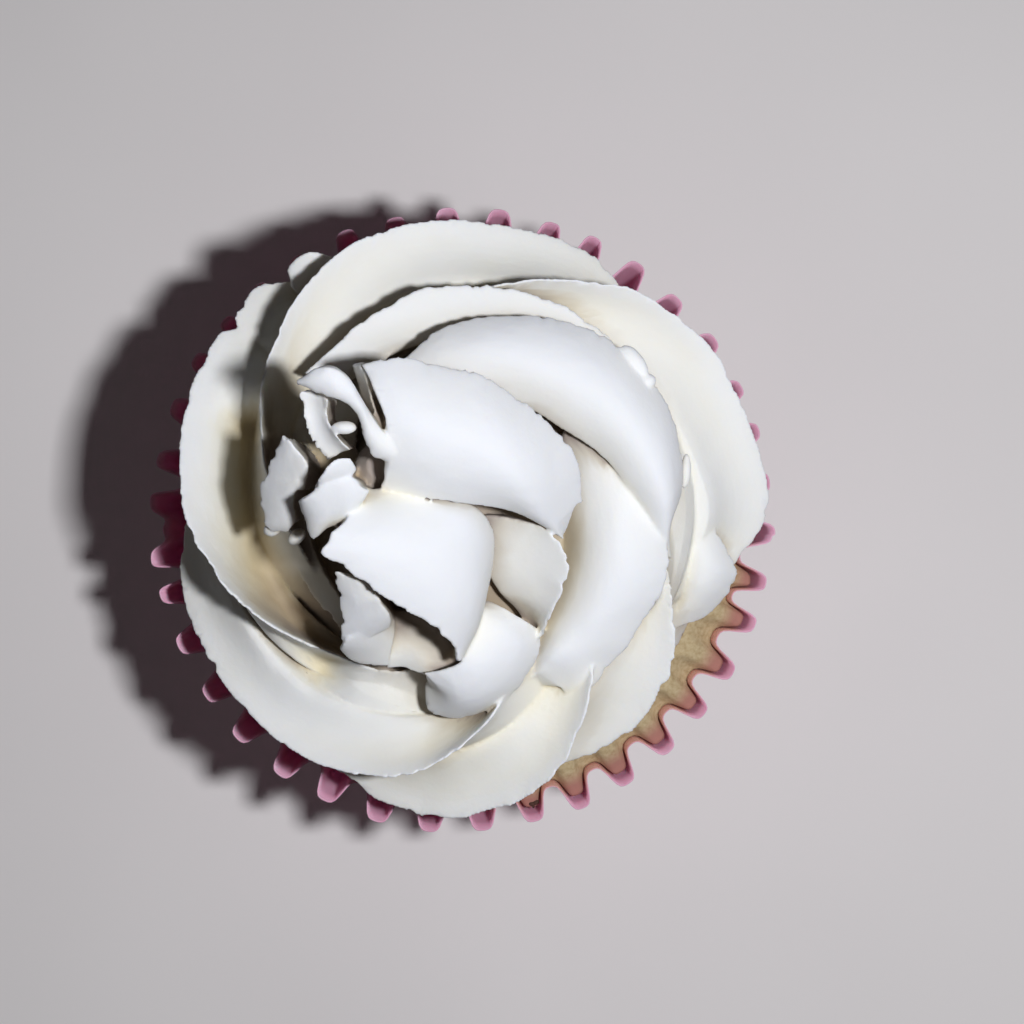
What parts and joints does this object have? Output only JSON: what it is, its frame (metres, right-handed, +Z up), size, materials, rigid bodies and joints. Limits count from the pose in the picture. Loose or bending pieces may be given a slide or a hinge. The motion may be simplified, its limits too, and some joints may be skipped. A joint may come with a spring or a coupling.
{
  "type": "cupcake",
  "caption": "Vanilla cupcake in a pleated pink paper case, topped with a tall piped swirl of white buttercream that ends in an off-centre curled peak.",
  "frame": {"origin": "middle of the underside of the paper case, on the surface it stands on", "axes": "+Z up through the swirl; +X to the right and +Y to the top of the view from above, in which the peak leans to the upper left"},
  "size_m": [0.07, 0.07, 0.0735],
  "materials": {
    "paper": "thin greaseproof paper, matt, slightly translucent where fat has soaked in",
    "sponge": "baked golden crumb, open pores, matt",
    "buttercream": "smooth piped buttercream with ragged lips, soft sheen, light passes a little way in"
  },
  "bodies": {
    "root": {"paper_case": "paper", "sponge": "sponge", "frosting": "buttercream"}
  },
  "joints": []
}
